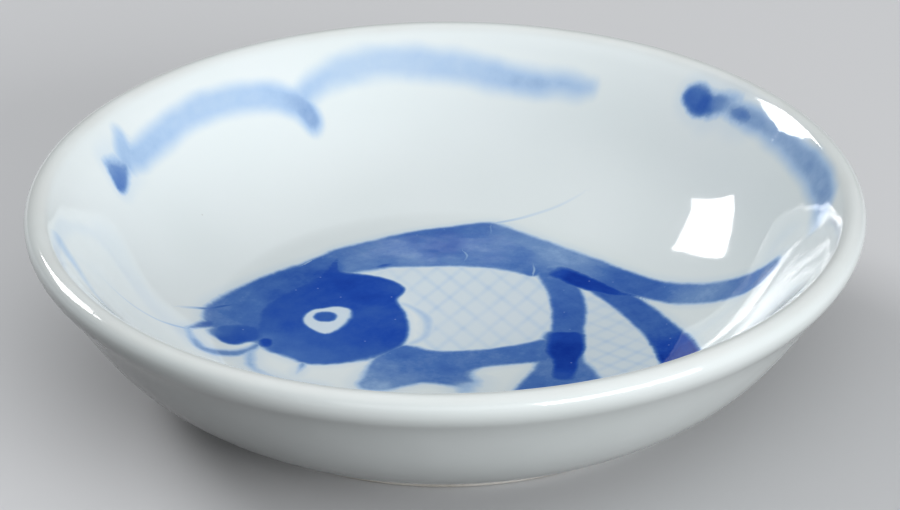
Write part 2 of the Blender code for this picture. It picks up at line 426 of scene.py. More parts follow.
def paint_water(wash, deep):
    """Pale strokes of water round the wall, with a loaded touch where the brush first landed."""
    wash.stroke(
        (-35.3, 18.4, 2.0, 0.29), (-33.8, 21.0, 2.1, 0.29), (-31.4, 25.2, 2.1, 0.27),
        (-28.3, 29.0, 2.2, 0.26), (-24.4, 32.1, 2.2, 0.26), (-20.4, 34.2, 2.1, 0.28),
        (-17.8, 34.7, 2.2, 0.32), (-16.5, 34.6, 2.5, 0.38), (-15.5, 34.0, 2.2, 0.40), soft=0.6,
    )
    wash.stroke((-36.8, 19.4, 1.7, 0.26), (-36.4, 18.4, 2.3, 0.29), (-36.1, 17.2, 2.4, 0.32), soft=0.55)
    wash.stroke(
        (-16.4, 35.9, 1.5, 0.28), (-13.4, 38.2, 2.0, 0.24), (-9.7, 39.8, 2.3, 0.23),
        (-5.0, 40.6, 2.4, 0.24), (-0.8, 40.6, 2.3, 0.25), (3.3, 40.1, 2.3, 0.27), (7.0, 39.2, 2.1, 0.29),
        (10.4, 38.2, 1.9, 0.32), (13.2, 37.5, 1.8, 0.30), (15.6, 36.5, 1.5, 0.29), (17.2, 36.0, 1.0, 0.26),
        soft=0.7,
    )
    wash.stroke(
        (32.7, 25.8, 1.6, 0.38), (34.6, 23.4, 1.8, 0.40), (36.4, 20.6, 1.7, 0.38), (38.4, 16.7, 1.9, 0.37),
        (40.2, 12.2, 2.2, 0.38), (41.4, 7.4, 2.5, 0.38), (41.8, 3.7, 2.4, 0.38), (41.4, 0.9, 2.0, 0.33),
        (40.8, -1.1, 1.4, 0.22), soft=0.65,
    )
    wash.stroke(
        (-42.0, -6.5, 0.5, 0.18), (-40.7, -9.2, 1.2, 0.26), (-38.9, -12.4, 1.0, 0.25),
        (-37.0, -16.4, 1.0, 0.22), (-33.8, -21.4, 1.6, 0.25), (-30.2, -27.4, 1.5, 0.32), soft=0.55,
    )
    wash.stroke(
        (-22.5, -34.2, 1.4, 0.34), (-15.0, -38.4, 2.1, 0.27), (-7.0, -40.9, 2.3, 0.24),
        (1.5, -41.1, 2.1, 0.25), (9.0, -39.6, 1.5, 0.32), soft=0.8,
    )
    wash.stroke(
        (31.6, -27.2, 1.5, 0.34), (28.6, -30.4, 2.0, 0.28), (25.2, -33.2, 2.2, 0.25),
        (21.4, -35.6, 2.1, 0.26), (17.2, -37.4, 1.5, 0.33), soft=0.8,
    )
    # Loaded touches
    outline = (
        (-38.4, 14.6, 0.5), (-37.2, 16.2, 0.8), (-35.9, 16.9, 0.8), (-35.7, 14.9, 0.4), (-36.0, 13.2),
        (-36.7, 12.5), (-37.6, 13.4, 0.4),
    )
    tones = ((-38.0, 14.4, 0.44), (-36.4, 16.0, 0.48), (-36.4, 13.2, 0.60), (-36.7, 14.6, 0.56))
    deep.patch(outline, tones, soft=0.35)
    outline = (
        (27.5, 30.1, 0.45), (27.9, 30.9), (29.0, 30.8), (30.1, 29.9, 0.55), (30.8, 28.8, 0.6),
        (31.4, 27.4, 0.6), (31.1, 26.6), (30.0, 27.0, 0.4), (28.5, 28.2, 0.4),
    )
    tones = ((29.3, 30.0, 0.62), (28.4, 29.7, 0.74), (29.8, 28.1, 0.84), (30.9, 27.4, 0.68))
    deep.patch(outline, tones)
    deep.stroke((30.8, 27.5, 2.0, 0.54), (32.2, 26.8, 1.9, 0.42), (33.6, 26.1, 1.2, 0.28), soft=0.6)
    deep.stroke((32.7, 25.7, 1.1, 0.44), (33.8, 24.4, 1.6, 0.56), (34.8, 23.1, 1.2, 0.51), soft=0.6)
    deep.stroke((-31.0, -26.6, 1.8, 0.62), (-29.4, -28.4, 2.0, 0.70))
    deep.stroke((9.0, -39.7, 1.6, 0.60), (10.6, -39.4, 1.8, 0.66))
    deep.stroke((31.2, -27.6, 1.8, 0.58), (32.4, -26.2, 1.6, 0.66))


def paint_washes(mid):
    """The carp's washes: snout and forehead, back, bands, belly and fins."""
    # Snout and forehead
    outline = (
        (-27.0, 0.6), (-26.4, 3.6), (-24.1, 7.3), (-22.0, 9.8), (-19.6, 12.1), (-17.0, 14.1),
        (-14.9, 15.9, 0.4), (-12.2, 17.9, 0.4), (-10.6, 15.5, 0.6), (-12.5, 9.0, 0.8), (-18.0, 3.0, 0.8),
        (-21.0, -2.0, 0.6), (-23.4, -2.4), (-25.5, -1.8), (-26.6, -0.8),
    )
    tones = (
        (-26.4, 0.8, 0.56), (-25.0, 4.0, 0.60), (-22.8, 7.2, 0.64), (-20.4, 10.2, 0.72),
        (-17.4, 12.8, 0.76), (-14.4, 15.4, 0.68), (-12.6, 17.0, 0.58), (-22.0, 3.0, 0.66),
        (-18.4, 7.6, 0.80), (-14.6, 12.0, 0.86),
    )
    mid.patch(outline, tones)
    # Back, from the head to the peak of the fin
    outline = (
        (-13.6, 17.0), (-9.0, 19.9), (-4.0, 22.2, 0.35), (1.0, 23.4, 0.35), (4.2, 24.0, 0.35), (6.2, 23.7),
        (8.8, 21.6, 0.5), (12.0, 18.4, 0.6), (12.4, 14.4, 0.6), (10.2, 11.8), (7.9, 12.8), (5.0, 13.8),
        (1.0, 14.3), (-2.6, 14.2), (-6.0, 14.1), (-9.0, 13.1, 0.6), (-12.0, 12.6, 0.8),
    )
    tones = (
        (-12.6, 16.6, 0.60), (-9.5, 18.6, 0.55), (-6.5, 18.4, 0.56), (-9.6, 15.2, 0.52),
        (-6.4, 14.8, 0.58), (-4.0, 15.6, 0.50), (-3.0, 21.2, 0.68), (0.6, 21.4, 0.72), (3.6, 22.6, 0.62),
        (-0.5, 18.6, 0.76), (0.5, 15.2, 0.55), (5.0, 18.0, 0.54), (5.0, 15.0, 0.56), (7.0, 21.6, 0.50),
        (8.4, 16.0, 0.60), (9.8, 13.2, 0.62), (11.4, 15.6, 0.50),
    )
    mid.patch(outline, tones, soft=0.4)
    # Trailing edge of the back fin, drawn out into a long stroke
    mid.stroke(
        (6.6, 21.7, 2.8, 0.50), (10.2, 18.2, 4.2, 0.46), (15.0, 14.1, 4.7, 0.46), (20.0, 9.9, 4.2, 0.72),
        (24.0, 6.8, 3.7, 0.66), (28.0, 3.9, 3.5, 0.46), (31.6, 1.5, 3.6, 0.52), (34.0, 0.2, 3.4, 0.58),
        (35.6, 0.0, 2.6, 0.52), soft=0.4,
    )
    # Band across the flank
    mid.stroke(
        (11.9, 12.4, 3.2, 0.60), (13.3, 8.4, 3.8, 0.66), (13.8, 4.0, 3.9, 0.74), (13.6, 0.0, 3.7, 0.70),
        (13.2, -4.0, 4.0, 0.66), (13.0, -8.4, 4.4, 0.62), (12.4, -13.0, 5.4, 0.62), soft=0.4,
    )
    # Belly and the pair of breast fins
    outline = (
        (-4.6, -4.0), (-1.6, -5.2, 0.4), (1.0, -5.4, 0.35), (5.0, -4.9, 0.35), (8.6, -3.8, 0.35),
        (11.8, -2.8), (11.6, -7.8, 0.6), (9.6, -8.2, 0.4), (6.2, -8.7, 0.4), (3.8, -9.4),
        (2.7, -10.7, 0.8), (3.6, -12.4, 0.9), (3.1, -14.4, 0.9), (1.8, -14.8, 0.9), (0.8, -13.7, 0.7),
        (-0.7, -12.9), (-2.6, -12.7), (-4.5, -13.4), (-6.3, -14.4), (-8.3, -14.5, 0.6), (-9.7, -13.3, 0.6),
        (-9.2, -11.2, 0.6), (-8.4, -8.4), (-7.4, -6.0, 0.6),
    )
    tones = (
        (-4.6, -6.0, 0.68), (-1.6, -6.6, 0.61), (1.0, -7.0, 0.60), (4.4, -6.6, 0.60), (8.0, -6.0, 0.63),
        (11.0, -5.4, 0.64), (-6.6, -8.6, 0.54), (-4.0, -9.0, 0.58), (0.0, -9.6, 0.68), (-8.2, -11.4, 0.46),
        (-7.4, -13.4, 0.40), (-4.6, -12.4, 0.50), (-1.0, -11.8, 0.62), (1.6, -11.4, 0.58),
        (2.6, -13.6, 0.30),
    )
    mid.patch(outline, tones)
    # Hind fin under the band
    outline = (
        (10.4, -7.4, 0.5), (9.2, -10.5, 0.5), (7.2, -15.0, 0.5), (7.6, -18.6, 0.8), (10.0, -18.0),
        (12.4, -19.4, 0.8), (14.6, -18.0), (17.4, -18.8, 0.8), (18.2, -16.6), (17.0, -12.4, 0.5),
        (15.5, -8.6), (13.0, -7.2),
    )
    tones = (
        (10.6, -9.0, 0.56), (9.0, -13.0, 0.66), (8.6, -17.6, 0.42), (13.0, -15.0, 0.58),
        (16.4, -13.0, 0.58), (16.8, -17.6, 0.42),
    )
    mid.patch(outline, tones, soft=0.6)
    # Band towards the tail
    mid.stroke(
        (17.2, 9.0, 2.6, 0.78), (20.0, 5.3, 3.4, 0.72), (22.1, 1.6, 3.7, 0.72), (23.9, -2.6, 3.9, 0.78),
        (25.1, -7.0, 4.2, 1.02), (25.6, -12.0, 4.2, 1.16), (24.8, -17.0, 3.6, 0.82),
        (22.8, -21.4, 2.6, 0.78), soft=0.4,
    )
    # Tail fin
    mid.stroke((20.6, -20.6, 2.4, 0.72), (17.8, -25.4, 3.6, 0.60), (13.4, -30.4, 0.9, 0.40))
    mid.stroke((21.2, -21.0, 2.2, 0.74), (20.6, -26.6, 3.2, 0.60), (18.8, -32.4, 0.8, 0.40))
    mid.stroke((21.8, -20.8, 2.2, 0.74), (24.2, -25.4, 3.0, 0.60), (26.4, -29.4, 0.8, 0.40))


def paint_mouth(mid, deep):
    """Lips, chin, throat and the dark inside of the mouth."""
    # Upper and lower lip
    mid.stroke(
        (-28.6, -4.0, 0.3, 0.50), (-27.6, -2.7, 0.6, 0.60), (-26.8, -1.6, 1.0, 0.72),
        (-26.2, -0.8, 1.3, 0.80), (-25.7, 0.0, 1.0, 0.66), soft=0.4,
    )
    mid.stroke(
        (-28.3, -4.3, 0.7, 0.34), (-27.8, -5.7, 1.1, 0.34), (-27.2, -6.9, 1.4, 0.40),
        (-26.6, -7.6, 1.5, 0.44), (-25.5, -7.5, 1.5, 0.46), (-24.4, -7.1, 1.5, 0.48),
        (-23.2, -6.8, 1.5, 0.48), (-22.2, -6.2, 1.3, 0.49), (-21.4, -5.4, 1.1, 0.50),
        (-20.8, -4.5, 0.8, 0.56),
    )
    # Chin and throat
    mid.stroke(
        (-21.4, -5.9, 1.0, 0.32), (-21.5, -7.3, 1.2, 0.33), (-21.4, -8.8, 1.1, 0.31),
        (-20.8, -10.2, 0.9, 0.28), (-19.2, -11.5, 0.7, 0.24), (-17.2, -12.6, 0.6, 0.17),
        (-13.6, -13.7, 0.4, 0.05), soft=0.55,
    )
    mid.stroke((-15.6, -8.4, 0.7, 0.52), (-15.9, -9.6, 0.6, 0.36), (-16.3, -10.9, 0.4, 0.16), soft=0.4)
    # Inside of the mouth
    outline = (
        (-26.2, -2.7, 0.7), (-25.8, -1.5, 0.6), (-25.4, -0.6, 0.6), (-24.4, 0.2, 0.8), (-23.0, 0.4, 0.9),
        (-20.9, 0.3, 0.9), (-20.0, -1.4, 0.6), (-19.8, -3.0, 0.5), (-21.9, -4.0, 0.4), (-22.8, -4.6),
        (-23.7, -4.8), (-24.5, -4.5), (-25.3, -3.8, 0.4),
    )
    tones = (
        (-25.6, -2.2, 0.60), (-24.6, -1.4, 0.72), (-24.0, -3.6, 0.86), (-22.6, -3.2, 0.90),
        (-22.4, -1.2, 0.80), (-21.0, -2.4, 0.84),
    )
    deep.patch(outline, tones, soft=0.35)


def paint_head(deep):
    """The head, darkest along the top, with two lobes over the flank."""
    outline = (
        (-12.2, 16.6, 0.5), (-12.0, 14.4), (-11.4, 13.0, 0.6), (-9.1, 12.4), (-7.0, 11.6, 0.3),
        (-5.5, 10.5, 0.3), (-4.6, 9.2, 0.3), (-4.9, 7.8, 0.3), (-5.5, 6.5), (-4.8, 4.4), (-4.4, 2.8),
        (-4.1, -0.1), (-4.4, -2.8, 0.4), (-5.2, -4.8, 0.7), (-7.4, -6.8, 0.8), (-10.6, -7.9, 0.5),
        (-13.0, -8.5, 0.45), (-15.6, -8.3, 0.45), (-17.4, -7.0, 0.5), (-19.2, -5.9, 0.45),
        (-20.8, -4.4, 0.6), (-21.6, -2.4, 0.9), (-21.6, 0.8, 1.0), (-20.9, 4.4, 1.0), (-19.0, 7.8, 1.0),
        (-16.4, 10.4, 1.0), (-14.2, 13.6, 0.9),
    )
    tones = (
        (-12.6, 15.0, 0.86), (-13.0, 11.8, 0.96), (-15.6, 9.0, 0.90), (-11.4, 9.8, 1.02),
        (-8.6, 10.6, 0.96), (-6.2, 9.4, 0.90), (-9.0, 7.0, 1.00), (-6.6, 6.2, 0.96), (-12.6, 6.8, 0.92),
        (-18.6, 4.6, 0.88), (-19.6, 0.4, 0.80), (-17.4, 0.6, 0.88), (-8.0, 3.6, 0.84), (-5.8, 2.4, 0.90),
        (-8.4, 0.2, 0.92), (-6.0, -2.2, 0.96), (-9.6, -3.2, 0.90), (-13.4, -3.8, 0.82),
        (-17.6, -3.6, 0.74), (-13.6, -6.6, 0.72), (-10.0, -6.2, 0.78), (-16.6, -6.4, 0.66),
        (-8.0, -6.0, 0.80), (-20.8, -3.4, 0.52),
    )
    deep.patch(outline, tones, soft=0.35)


def paint_accents(accent):
    """Touches of a freshly loaded brush: cheek, pupil, a streak under the back, bars over back and flank."""
    accent.stroke((-19.8, -3.4, 1.8, 0.96), (-19.7, -4.1, 1.8, 0.96))
    accent.stroke((-13.5, 2.5, 2.4, 0.78), (-13.3, 2.5, 2.4, 0.78), soft=0.3)
    accent.stroke((-8.3, 13.8, 0.5, 0.80), (-6.9, 14.6, 0.8, 0.90), (-5.3, 15.0, 0.4, 0.70), soft=0.35)
    outline = (
        (11.3, 12.1, 0.9), (12.2, 13.3, 0.9), (13.2, 14.1, 0.8), (15.2, 12.5), (17.9, 10.0), (20.1, 7.7),
        (22.2, 6.1, 0.6), (19.2, 6.6, 0.4), (16.9, 7.7, 0.4), (14.4, 9.3, 0.4), (12.8, 10.6, 0.7),
    )
    tones = ((12.2, 13.0, 0.92), (15.0, 11.0, 1.13), (18.0, 8.6, 1.06), (21.0, 6.6, 0.90))
    accent.patch(outline, tones)
    outline = (
        (11.4, -1.4, 0.7), (13.2, -1.0), (15.1, -1.5), (15.3, -5.0, 0.4), (14.7, -8.2), (14.2, -12.0, 0.7),
        (12.8, -12.8, 0.8), (11.3, -11.8, 0.7), (11.6, -8.2, 0.6), (10.7, -5.2, 0.9),
    )
    tones = (
        (12.0, -2.2, 0.98), (14.6, -2.4, 1.00), (13.0, -5.0, 1.14), (13.4, -8.4, 1.08),
        (12.8, -12.0, 0.90),
    )
    accent.patch(outline, tones)


def paint_eye(reserve):
    """White left bare round the eye."""
    outline = (
        (-15.9, 2.0), (-15.0, 3.9), (-13.4, 4.6), (-11.8, 4.9, 0.35), (-10.7, 4.2, 0.4), (-10.5, 2.8, 0.5),
        (-11.0, 1.2, 0.5), (-11.9, -0.4, 0.4), (-13.0, -1.4), (-14.0, -1.2), (-15.3, 0.2),
    )
    reserve.patch(outline, ((-13.4, 2.0, 1.0),), soft=0.3)


def paint_scales(flank, tail, wash):
    """The two fields of scales, and the pale line of the gill beside the head."""
    outline = (
        (-8.4, 12.4), (-5.5, 14.2), (1.0, 14.8), (5.0, 14.2), (7.9, 13.2), (10.4, 11.8), (11.6, 9.0),
        (12.4, 2.0), (11.9, -2.4), (8.0, -4.4), (5.0, -5.4), (1.0, -6.0), (-2.0, -5.2, 0.8),
        (-3.0, -2.0, 0.8), (-3.0, 3.0, 0.8), (-4.6, 6.4, 0.8), (-4.8, 9.6, 0.8), (-6.4, 11.2, 0.8),
    )
    flank.patch(outline, ((3.0, 5.0, 1.0),), soft=0.6)
    outline = (
        (16.2, 7.6), (15.2, 4.0), (15.0, -6.0), (16.0, -12.0), (18.4, -16.6, 0.8), (21.6, -18.6, 0.8),
        (24.0, -12.0), (23.0, -4.0), (20.6, 2.6), (18.0, 6.4),
    )
    tail.patch(outline, ((19.0, -5.0, 1.0),), soft=0.6)
    wash.stroke(
        (-5.1, 5.7, 0.5, 0.18), (-4.1, 5.0, 0.7, 0.22), (-2.8, 3.5, 0.8, 0.25), (-2.0, 1.8, 0.9, 0.25),
        (-2.0, -0.6, 0.9, 0.23), (-2.5, -2.4, 0.8, 0.23), (-3.9, -3.8, 0.6, 0.20),
    )


def paint_hairs(hairs):
    """The two barbels and a loose bristle line off the back fin."""
    hairs.line(
        (-23.8, 4.4, 0.5, 0.66), (-25.1, 3.6, 0.6, 0.76), (-26.6, 2.3, 0.55, 0.56),
        (-28.0, 1.4, 0.45, 0.24), (-29.5, 0.3, 0.4, 0.05),
    )
    hairs.line(
        (-28.6, -4.1, 0.40, 0.30), (-31.3, -5.3, 0.40, 0.16), (-34.0, -5.8, 0.38, 0.13),
        (-35.4, -5.9, 0.36, 0.09), (-36.9, -5.9, 0.34, 0.03),
    )
    hairs.line(
        (5.6, 23.8, 0.42, 0.26), (9.5, 24.6, 0.40, 0.11), (13.0, 25.3, 0.38, 0.08),
        (16.0, 26.3, 0.34, 0.02),
    )


def paint_scratches(scratches):
    """Short scratches of use that show white across the back and forehead."""
    scratches.line((2.2, 17.6, 0.24, 0.6), (2.5, 16.8, 0.24, 0.6), (2.3, 15.9, 0.2, 0.3))
    scratches.line((10.0, 14.3, 0.2, 0.4), (10.1, 13.3, 0.26, 0.8), (9.9, 12.2, 0.24, 0.8))
    scratches.line((5.2, 23.2, 0.2, 0.4), (5.3, 22.3, 0.2, 0.4))
    scratches.line((-16.0, 14.5, 0.2, 0.9), (-15.4, 15.2, 0.2, 0.7))


def painted_attributes(mesh, painted_points):
    """Brushwork as point attributes. Only the first points, those of the well and its wall, are painted."""
    points = np.empty(len(mesh.vertices) * 3)
    mesh.vertices.foreach_get("co", points)
    plan = points.reshape(-1, 3)[:painted_points, :2] / MM
    coats = [Coat(name, plan) for name in ("wash", "mid", "deep", "accent", "reserve", "flank", "tail")]
    coats += [Lines(name, plan) for name in ("hair", "scratch")]
    wash, mid, deep, accent, reserve, flank, tail, hairs, scratches = coats
    paint_water(wash, deep)
    paint_washes(mid)
    paint_mouth(mid, deep)
    paint_head(deep)
    paint_accents(accent)
    paint_eye(reserve)
    paint_scales(flank, tail, wash)
    paint_hairs(hairs)
    paint_scratches(scratches)
    for coat in coats:
        for name, values in coat.attributes().items():
            whole = np.full(len(mesh.vertices), 0.0 if name.endswith("_ink") else FAR)
            whole[:painted_points] = values
            mesh.attributes.new(name, "FLOAT", "POINT").data.foreach_set("value", whole)


# Materials


def linear(red, green, blue):
    """A colour given as 0 to 255 on screen, in the linear values that shaders use."""
    channels = np.array((red, green, blue)) / 255
    return (*np.where(channels <= 0.04045, channels / 12.92, ((channels + 0.055) / 1.055) ** 2.4), 1.0)


class Nodes:
    """A node tree under construction. Most methods take sockets or plain numbers and return a socket."""

    def __init__(self, tree):
        self.nodes = tree.nodes
        self.links = tree.links

    def feed(self, socket, value):
        if isinstance(value, bpy.types.NodeSocket):
            self.links.new(value, socket)
        else:
            socket.default_value = value

    def new(self, kind, **inputs):
        """A new node, with the named inputs fed."""
        node = self.nodes.new(kind)
        for name, value in inputs.items():
            self.feed(node.inputs[name], value)
        return node

    def coordinates(self, kind):
        return self.new("ShaderNodeTexCoord").outputs[kind]

    def vector(self, operation, a, b):
        node = self.new("ShaderNodeVectorMath")
        node.operation = operation
        self.feed(node.inputs[0], a)
        self.feed(node.inputs["Scale"] if operation == "SCALE" else node.inputs[1], b)
        return node.outputs["Value"] if operation in ("LENGTH", "DOT_PRODUCT") else node.outputs["Vector"]

    def math(self, operation, *values):
        node = self.new("ShaderNodeMath")
        node.operation = operation
        for socket, value in zip(node.inputs, values):
            self.feed(socket, value)
        return node.outputs["Value"]

    def times(self, a, b):
        return self.math("MULTIPLY", a, b)

    def larger(self, a, b):
        return self.math("MAXIMUM", a, b)

    def split(self, vector):
        return self.new("ShaderNodeSeparateXYZ", Vector=vector).outputs

    def combine(self, x, y, z):
        return self.new("ShaderNodeCombineXYZ", X=x, Y=y, Z=z).outputs["Vector"]

    def attribute(self, name):
        node = self.new("ShaderNodeAttribute")
        node.attribute_name = name
        return node.outputs["Fac"]

    def noise(self, place, scale, detail=2.0, roughness=0.5):
        inputs = {"Vector": place, "Scale": scale, "Detail": detail, "Roughness": roughness}
        return self.new("ShaderNodeTexNoise", **inputs).outputs["Fac"]

    def dots(self, place, scale, empty, outer, inner, channel=0, dimensions="3D"):
        """Soft round dots at scattered points, of which a share stays empty."""
        node = self.new("ShaderNodeTexVoronoi", Vector=place, Scale=scale)
        node.voronoi_dimensions = dimensions
        shown = self.ease(self.split(node.outputs["Color"])[channel], empty, empty + 0.02)
        return self.times(self.ease(node.outputs["Distance"], outer, inner), shown)

    def ease(self, value, start, end, low=0.0, high=1.0):
        """A smooth step from low to high as the value goes from start to end."""
        falling = start > end
        limits = (end, start, high, low) if falling else (start, end, low, high)
        inputs = dict(zip(("From Min", "From Max", "To Min", "To Max"), limits))
        node = self.new("ShaderNodeMapRange", Value=value, **inputs)
        node.interpolation_type = "SMOOTHSTEP"
        return node.outputs["Result"]

    def mix(self, factor, a, b, blend="MIX"):
        node = self.new("ShaderNodeMix", Factor=factor)
        node.data_type = "RGBA"
        node.blend_type = blend
        colours = [socket for socket in node.inputs if socket.type == "RGBA"]
        self.feed(colours[0], a)
        self.feed(colours[1], b)
        return next(socket for socket in node.outputs if socket.type == "RGBA")

    def ramp(self, value, stops):
        """A colour ramp with stops of (position, colour)."""
        node = self.new("ShaderNodeValToRGB", Fac=value)
        elements = node.color_ramp.elements
        while len(elements) < len(stops):
            elements.new(1.0)
        for element, (place, colour) in zip(elements, stops):
            element.position = place
            element.color = colour
        return node.outputs["Color"]

    def bump(self, height, distance, below=None):
        """A bump from a height of 0 to 1 that stands for the distance, in millimetres."""
        node = self.new("ShaderNodeBump", Strength=1.0, Distance=distance * MM, Height=height)
        if below is not None:
            self.feed(node.inputs["Normal"], below)
        return node.outputs["Normal"]


class Shader(Nodes):
    """A material of one principled surface."""

    def __init__(self, name):
        self.material = bpy.data.materials.new(name)
        self.material.use_nodes = True
        super().__init__(self.material.node_tree)
        self.surface = self.nodes["Principled BSDF"]

    def set(self, name, value):
        """Give one input of the surface a socket, or a value that holds all over."""
        self.feed(self.surface.inputs[name], value)

    def position(self):
        """Place on the object in millimetres."""
        return self.vector("SCALE", self.coordinates("Object"), 1 / MM)


# Screen colours of the ink from bare glaze to the heaviest load, by the amount of ink
INK_FULL = 1.2
INK_COLOURS = (
    (0.00, (228, 235, 236)),
    (0.14, (201, 218, 234)),
    (0.28, (172, 199, 230)),
    (0.46, (116, 150, 200)),
    (0.62, (79, 119, 187)),
    (0.80, (55, 96, 177)),
    (0.96, (34, 75, 170)),
    (1.20, (16, 50, 148)),
)

# How far the edges of the carp and of the water wander and fade, in units of each mark's softness
EDGE_WANDER = 1.1
WATER_WANDER = 0.9
EDGE_FADE = 1.25

# Faint halo round the carp, and centre of the arcs that its brush streaks follow
HALO_INK = 0.06
ARCH_CENTRE = (2.0, -4.0, 0.0)

# For each field of scales: spacing of the lines, angle of their normals from X, centre of one scale
SCALE_FIELDS = {
    "flank": (2.48, 31.3 * DEGREE, (0.5, 9.3, 0.0)),
    "tail": (2.12, 48.7 * DEGREE, (19.4, -6.5, 0.0)),
}
SCALE_LINE = 0.62
SCALE_DRIFT = 0.7
SCALE_INK = 0.058
SCALE_TINT = 0.06

# Screen colours of what shows in and through the glaze
BUBBLE = (170, 200, 235)
SPECK = (140, 128, 116)
THIN_GLAZE = (204, 203, 198)

# How far below the top of the lip the glaze is thin
THIN_REACH = 0.9

# Dots in the glaze: cells per millimetre, share left empty, outer and inner radius of a dot in cells
PINHOLES = (0.22, 0.88, 0.045, 0.0)
SPECKS = (0.17, 0.93, 0.03, 0.012)
BUBBLES = (0.36, 0.72, 0.055, 0.015)
SPECK_SHIFT = (31.0, 17.0, 5.0)

# Depths of the relief, and roughness from the most to the least polished places
RIPPLE_DEPTH = 0.05
PEEL_DEPTH = 0.001
PINHOLE_DEPTH = 0.05
GRAIN_DEPTH = 0.05
GLAZE_ROUGHNESS = (0.045, 0.10)
BARE_ROUGHNESS = (0.65, 0.85)

# Share of the ink left in the eye's ring, and share that a scratch takes off
RESERVE_INK = 0.11
SCRATCH_DEPTH = 0.5

# Specular level of clear glaze, and of glaze over the heaviest ink
CLEAR_GLOSS = 0.5
INKED_GLOSS = 0.15


def polar(shader, place, centre, across, along):
    """Coordinates that run across and along circles about a centre, each at its own scale."""
    offset = shader.vector("SUBTRACT", place, centre)
    flat = shader.vector("MULTIPLY", offset, (1, 1, 0))
    radius = shader.vector("LENGTH", flat, (0, 0, 0))
    x, y, _ = shader.split(flat)
    angle = shader.math("ARCTAN2", y, x)
    return shader.combine(shader.times(radius, across), shader.times(angle, along), 0.0)


def ruled(shader, place, spacing, angle):
    """Hand-ruled parallel lines with uneven gaps. The zero place lies midway between two of them."""
    across = shader.vector("DOT_PRODUCT", place, (math.cos(angle), math.sin(angle), 0))
    along = shader.vector("DOT_PRODUCT", place, (-math.sin(angle), math.cos(angle), 0))
    wobble = shader.combine(shader.times(across, 0.5), shader.times(along, 0.07), angle)
    drift = shader.math("SUBTRACT", shader.noise(wobble, 1.0), 0.5)
    across = shader.math("MULTIPLY_ADD", drift, SCALE_DRIFT, across)
    phase = shader.math("FRACT", shader.math("DIVIDE", across, spacing))
    gap = shader.math("ABSOLUTE", shader.math("SUBTRACT", phase, 0.5))
    return shader.ease(gap, SCALE_LINE / spacing, 0.0)


def scale_ink(shader, place):
    """Crossing lines, darkest where they cross, with a faint tint between them, in the fields of scales."""
    fade = shader.ease(shader.noise(place, 0.35), 0.3, 0.65, 0.5, 1.0)
    fields = []
    for field, (spacing, angle, centre) in SCALE_FIELDS.items():
        from_centre = shader.vector("SUBTRACT", place, centre)
        rising, falling = (ruled(shader, from_centre, spacing, a) for a in (angle, math.pi - angle))
        lines = shader.math("ADD", rising, falling)
        ink = shader.math("MULTIPLY_ADD", shader.times(lines, fade), SCALE_INK, SCALE_TINT)
        fields.append(shader.times(ink, shader.ease(shader.attribute(field + "_edge"), 1.0, -1.0)))
    return shader.larger(*fields)


def fine_line(shader, name):
    """Ink of the fine lines of one kind."""
    across = shader.math("ABSOLUTE", shader.attribute(name + "_offset"))
    return shader.times(shader.ease(across, 1.6, 0.2), shader.attribute(name + "_ink"))


def coat_ink(shader, name, wander, tone):
    """Ink of one coat: full inside its marks, with a soft uneven edge and a tone that varies."""
    edge = shader.math("ADD", wander, shader.attribute(name + "_edge"))
    ink = shader.times(shader.ease(edge, EDGE_FADE, -EDGE_FADE), shader.attribute(name + "_ink"))
    return shader.times(ink, tone)


def brushwork(shader, place):
    """The amount of cobalt under the glaze, from none to INK_FULL and over."""
    unrest = shader.math("SUBTRACT", shader.noise(place, 0.7, 3.0, 0.55), 0.5)
    wander = shader.times(unrest, EDGE_WANDER)
    drift = shader.math("SUBTRACT", shader.noise(place, 0.28, 1.0), 0.5)
    drift = shader.times(drift, WATER_WANDER)
    streaks = shader.noise(polar(shader, place, ARCH_CENTRE, 1.1, 4.0), 1.0, 4.0, 0.6)
    blotches = shader.noise(place, 0.5, 4.0, 0.6)
    grain = shader.noise(place, 2.6, 3.0, 0.6)
    uneven = shader.math("MULTIPLY_ADD", streaks, 0.20, shader.times(blotches, 0.42))
    uneven = shader.math("MULTIPLY_ADD", grain, 0.14, uneven)
    carp_tone = shader.math("ADD", uneven, 0.62)
    head_tone = shader.math("MULTIPLY_ADD", uneven, 0.55, 0.79)
    water_tone = shader.math("MULTIPLY_ADD", blotches, 0.4, 0.8)

    ink = coat_ink(shader, "mid", wander, carp_tone)
    ink = shader.larger(ink, coat_ink(shader, "deep", wander, head_tone))
    nearest = shader.math("MINIMUM", shader.attribute("mid_edge"), shader.attribute("deep_edge"))
    halo = shader.ease(nearest, 0.9 * FAR, 0.0, 0.0, HALO_INK)
    pale = shader.larger(coat_ink(shader, "wash", drift, water_tone), halo)
    pale = shader.larger(pale, scale_ink(shader, place))
    ink = shader.larger(ink, pale)
    bare = shader.math("MULTIPLY_ADD", wander, 0.8, shader.attribute("reserve_edge"))
    ink = shader.times(ink, shader.ease(bare, -1.0, 1.0, RESERVE_INK, 1.0))
    ink = shader.larger(ink, coat_ink(shader, "accent", wander, head_tone))
    ink = shader.larger(ink, fine_line(shader, "hair"))
    worn = shader.math("MULTIPLY_ADD", fine_line(shader, "scratch"), -SCRATCH_DEPTH, 1.0)
    return shader.times(ink, worn)


